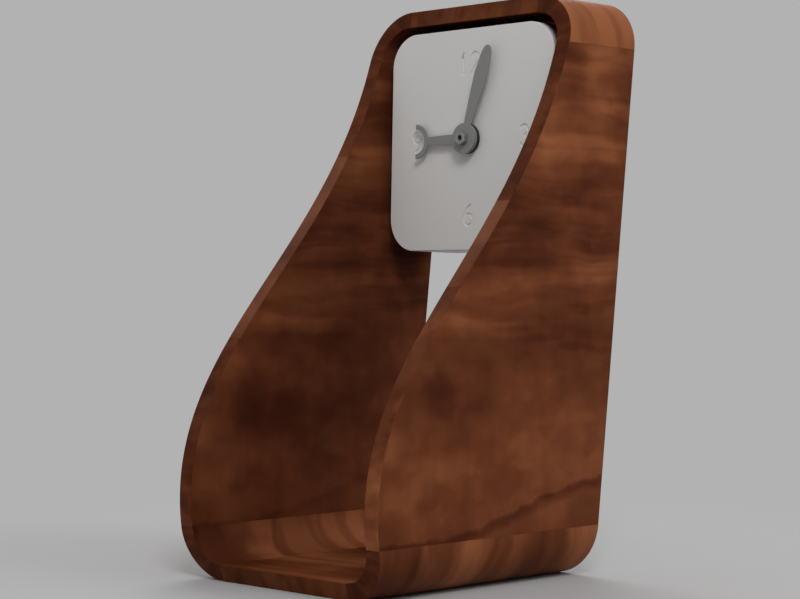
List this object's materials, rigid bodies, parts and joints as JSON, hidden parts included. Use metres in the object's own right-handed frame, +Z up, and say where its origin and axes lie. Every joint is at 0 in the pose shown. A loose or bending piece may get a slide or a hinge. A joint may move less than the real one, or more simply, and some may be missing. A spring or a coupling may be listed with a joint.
{
  "type": "desk clock",
  "caption": "Desk clock with a square white dial floating in a swept walnut loop stand, grey hands, and a battery quartz movement in the dial case.",
  "frame": {"origin": "centre of the clock's bounding box, on the surface that it stands on", "axes": "+Z up; the dial faces -Y, and +X is to the right of someone who reads it"},
  "size_m": [0.1168, 0.1527, 0.24],
  "materials": {
    "walnut": "oiled, red-brown, with dark figure",
    "birch": "plain sawn",
    "dial_white": "matt, off-white",
    "hand_grey": "matt grey paint",
    "nut_grey": "satin grey",
    "black_nut": "satin black",
    "brass": "turned",
    "steel": "bright",
    "shell_black": "fine texture, black",
    "gear_white": "moulded, natural white",
    "knob_black": "satin black",
    "magnet_grey": "ground",
    "copper": "enamelled winding wire",
    "board_green": "laminate",
    "rubber": "matt black",
    "cell_green": "plain sleeve with no print"
  },
  "bodies": {
    "stand": {"side_panel_left": "walnut", "side_panel_right": "walnut", "top_board": "walnut", "bottom_board": "walnut", "corner_top_left": "walnut", "corner_top_right": "walnut", "corner_bottom_left": "walnut", "corner_bottom_right": "walnut", "tongue_left_top": "birch", "tongue_left_bottom": "birch", "tongue_right_top": "birch", "tongue_right_bottom": "birch", "tongue_top_left": "birch", "tongue_top_right": "birch", "tongue_bottom_left": "birch", "tongue_bottom_right": "birch", "dial_case": "dial_white", "rear_cover": "dial_white", "cover_screw_1": "steel", "cover_screw_2": "steel", "cover_screw_3": "steel", "cover_screw_4": "steel", "side_spacer_1": "black_nut", "side_spacer_2": "black_nut", "side_spacer_3": "black_nut", "side_spacer_4": "black_nut", "side_screw_1": "steel", "side_screw_2": "steel", "side_screw_3": "steel", "side_screw_4": "steel", "movement_shell": "shell_black", "movement_lid": "shell_black", "threaded_bush": "brass", "fixing_nut": "black_nut", "rubber_washer": "rubber", "stator": "steel", "coil_core": "steel", "coil_bobbin": "shell_black", "coil_winding": "copper", "circuit_board": "board_green", "quartz_crystal": "steel", "control_chip": "black_nut", "positive_contact": "steel", "negative_contact": "steel"},
    "minute": {"minute_arbor": "brass", "minute_hand": "hand_grey", "minute_nut": "nut_grey"},
    "hour": {"hour_wheel": "brass", "hour_hand": "hand_grey"},
    "minute_wheel": {"minute_wheel": "gear_white"},
    "set_knob": {"set_knob": "knob_black"},
    "fourth_wheel": {"fourth_wheel": "gear_white"},
    "centre_wheel": {"centre_wheel": "gear_white"},
    "third_wheel": {"third_wheel": "gear_white"},
    "step_wheel": {"step_wheel": "gear_white"},
    "rotor": {"rotor": "magnet_grey"},
    "battery": {"battery": "cell_green"}
  },
  "joints": [
    {"name": "minute_hand_turn", "type": "hinge", "parent": "stand", "child": "minute", "pos_m": [0, 0.03466, 0.1823], "axis": [0, 0.9997, -0.0246], "continuous": true},
    {"name": "hour_hand_turn", "type": "hinge", "parent": "stand", "child": "hour", "pos_m": [0, 0.03466, 0.1823], "axis": [0, 0.9997, -0.0246], "continuous": true},
    {"name": "minute_wheel_turn", "type": "hinge", "parent": "stand", "child": "minute_wheel", "pos_m": [0.0072, 0.03466, 0.1823], "axis": [0, 0.9997, -0.0246], "continuous": true},
    {"name": "set_knob_turn", "type": "hinge", "parent": "stand", "child": "set_knob", "pos_m": [0.0153, 0.03466, 0.1823], "axis": [0, 0.9997, -0.0246], "continuous": true},
    {"name": "fourth_wheel_turn", "type": "hinge", "parent": "stand", "child": "fourth_wheel", "pos_m": [0, 0.03466, 0.1823], "axis": [0, 0.9997, -0.0246], "continuous": true},
    {"name": "third_wheel_turn", "type": "hinge", "parent": "stand", "child": "third_wheel", "pos_m": [-0.00873, 0.03478, 0.18734], "axis": [0, 0.9997, -0.0246], "continuous": true},
    {"name": "centre_wheel_turn", "type": "hinge", "parent": "stand", "child": "centre_wheel", "pos_m": [0, 0.03466, 0.1823], "axis": [0, 0.9997, -0.0246], "continuous": true},
    {"name": "step_wheel_turn", "type": "hinge", "parent": "stand", "child": "step_wheel", "pos_m": [0.003, 0.03479, 0.18749], "axis": [0, 0.9997, -0.0246], "continuous": true},
    {"name": "rotor_turn", "type": "hinge", "parent": "stand", "child": "rotor", "pos_m": [0.00562, 0.0349, 0.19204], "axis": [0, 0.9997, -0.0246], "continuous": true},
    {"name": "battery_slide", "type": "slide", "parent": "stand", "child": "battery", "axis": [0, 0.9997, -0.0246], "range_m": [0, 0.03]}
  ],
  "couplings": [
    {"joint": "hour_hand_turn", "follows": "minute_hand_turn", "ratio": 0.083333},
    {"joint": "minute_wheel_turn", "follows": "minute_hand_turn", "ratio": -0.33333},
    {"joint": "set_knob_turn", "follows": "minute_hand_turn", "ratio": 0.66667},
    {"joint": "third_wheel_turn", "follows": "fourth_wheel_turn", "ratio": -0.13333},
    {"joint": "centre_wheel_turn", "follows": "fourth_wheel_turn", "ratio": 0.016667},
    {"joint": "step_wheel_turn", "follows": "fourth_wheel_turn", "ratio": -5},
    {"joint": "rotor_turn", "follows": "fourth_wheel_turn", "ratio": 30}
  ]
}
